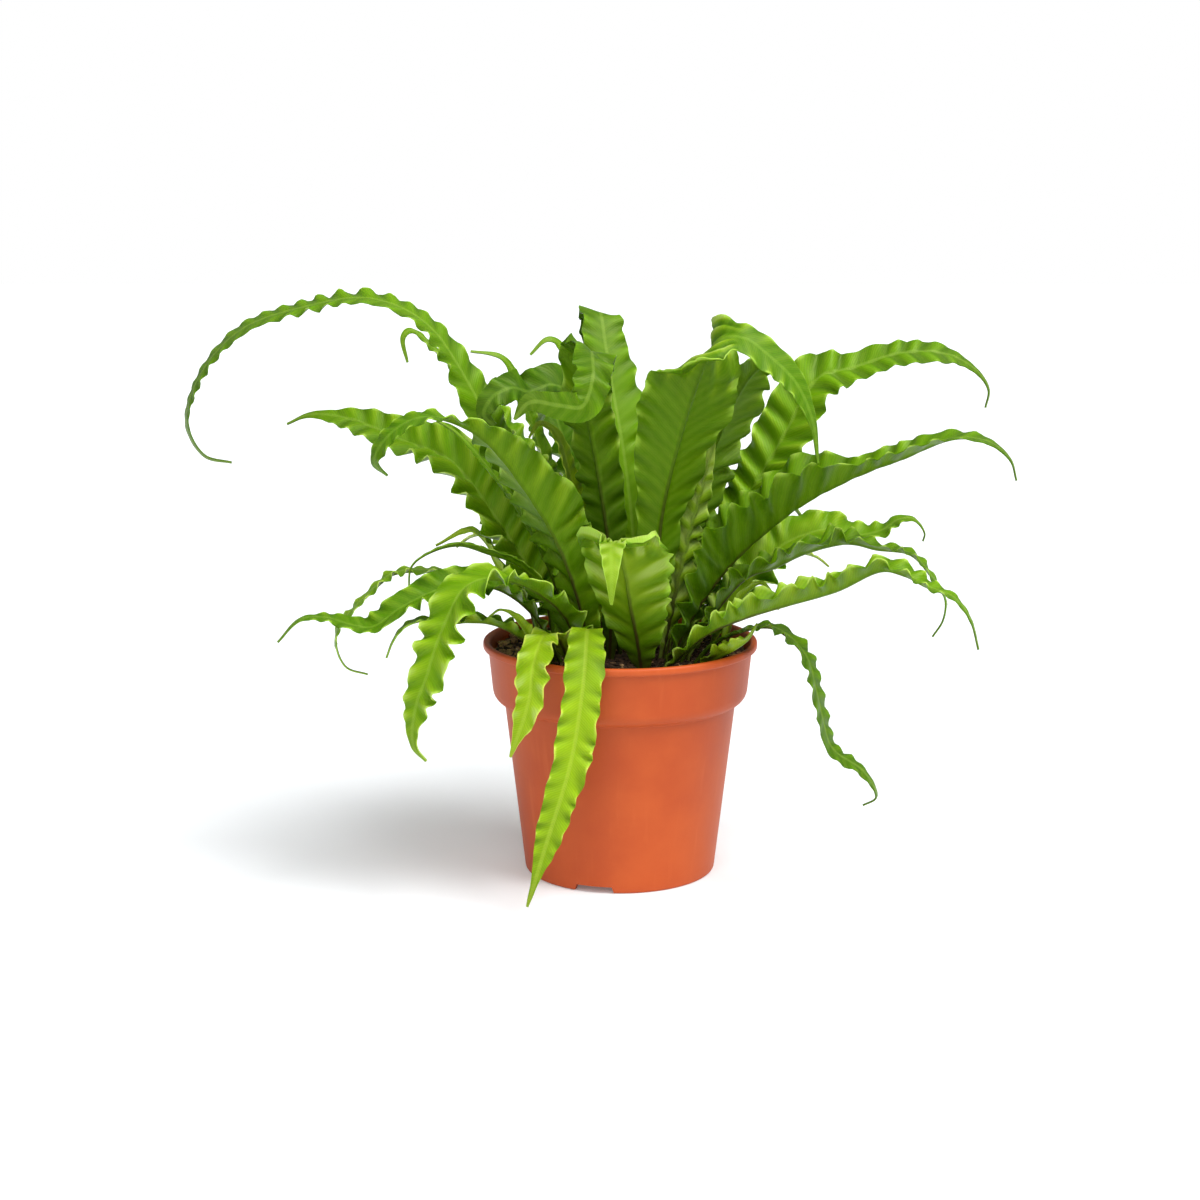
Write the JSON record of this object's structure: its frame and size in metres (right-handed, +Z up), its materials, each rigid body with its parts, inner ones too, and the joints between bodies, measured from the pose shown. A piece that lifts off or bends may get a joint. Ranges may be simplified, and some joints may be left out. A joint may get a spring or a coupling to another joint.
{
  "type": "potted fern",
  "caption": "Rosette of long, wavy-edged, arching fern fronds growing from dark soil in a tapered round nursery pot with a deep collar.",
  "frame": {"origin": "centre of the pot's foot, on the surface that it stands on", "axes": "+Z up, +X to the right seen from the front, -Y towards the front"},
  "size_m": [0.5068, 0.3411, 0.3644],
  "materials": {
    "pot": "satin terracotta-coloured plastic",
    "soil": "matt dark peat with bark and perlite",
    "green_frond": "satin mid-green frond",
    "deep_green_frond": "satin deep green frond",
    "lime_frond": "satin yellow-green young frond"
  },
  "bodies": {
    "root": {"pot": "pot", "soil": "soil", "frond_far_left_arch": "green_frond", "frond_left_hook": "green_frond", "frond_left_long": "green_frond", "frond_left_inner": "green_frond", "frond_left_front_curl": "deep_green_frond", "frond_left_wavy": "green_frond", "frond_left_thin": "green_frond", "frond_left_dark": "deep_green_frond", "frond_left_young": "lime_frond", "frond_left_front_broad": "green_frond", "frond_left_low": "deep_green_frond", "frond_left_lime": "lime_frond", "frond_front_lime": "lime_frond", "frond_front_hanging": "lime_frond", "frond_front": "deep_green_frond", "frond_middle_curl": "green_frond", "frond_middle_knot": "deep_green_frond", "frond_middle_lime": "lime_frond", "frond_middle_back_hair": "green_frond", "frond_middle_back_hook": "green_frond", "frond_tallest": "green_frond", "frond_broad": "deep_green_frond", "frond_right_dark": "deep_green_frond", "frond_right_inner": "green_frond", "frond_right_middle": "green_frond", "frond_right_upper": "green_frond", "frond_right_long": "green_frond", "frond_right_behind": "deep_green_frond", "frond_right_pale": "green_frond", "frond_right_curly": "green_frond", "frond_right_low": "green_frond", "frond_right_hanging": "green_frond", "frond_right_small": "lime_frond", "frond_right_young": "lime_frond", "frond_back_left": "green_frond", "frond_back_left_tall": "deep_green_frond", "frond_back_middle_tall": "green_frond", "frond_back_middle": "green_frond", "frond_back_right_tall": "deep_green_frond", "frond_back_right": "green_frond", "frond_back_right_low": "green_frond", "frond_back_low_left": "lime_frond", "frond_back_low_right": "lime_frond"}
  },
  "joints": []
}
